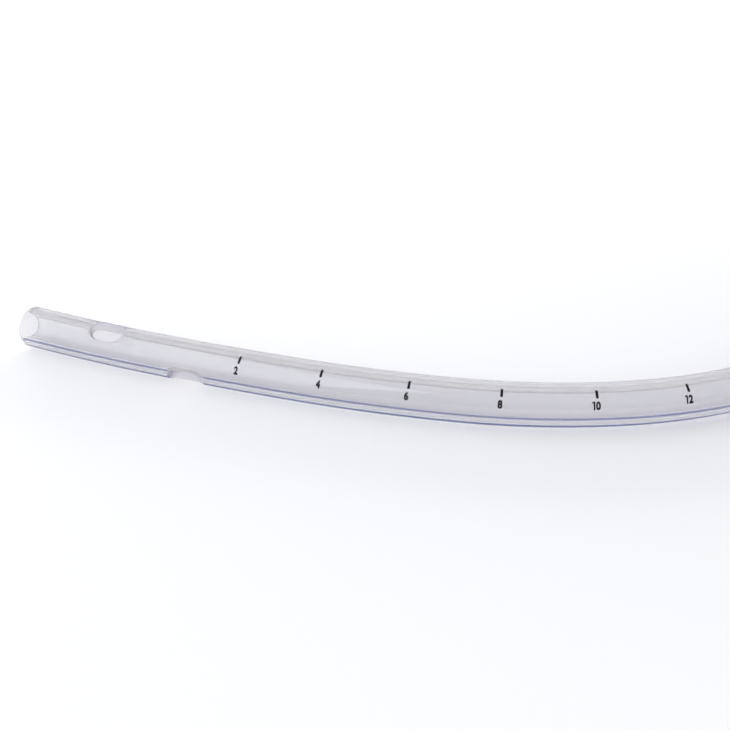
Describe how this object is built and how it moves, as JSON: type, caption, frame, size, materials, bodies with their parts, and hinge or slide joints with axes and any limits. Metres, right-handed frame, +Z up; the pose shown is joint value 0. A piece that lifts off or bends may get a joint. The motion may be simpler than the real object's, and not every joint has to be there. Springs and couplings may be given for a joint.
{
  "type": "chest drainage tube",
  "caption": "Clear flexible chest drainage tube, hollow along its length, with an open rounded tip, oval side eyes and a blue radiopaque line in its wall.",
  "frame": {"origin": "middle of the tube's footprint, on the surface that it lies on", "axes": "+X along the straight end run, towards the connector end; +Y the way the tip points; +Z up"},
  "size_m": [0.3216, 0.201, 0.01],
  "materials": {
    "clear_pvc": "clear soft polyvinyl chloride with a faint haze, satin outside",
    "blue_line": "blue radiopaque compound, moulded in",
    "black_ink": "black printed depth marks"
  },
  "bodies": {
    "root": {"drainage_tube": "clear_pvc", "radiopaque_line": "blue_line"}
  },
  "joints": []
}
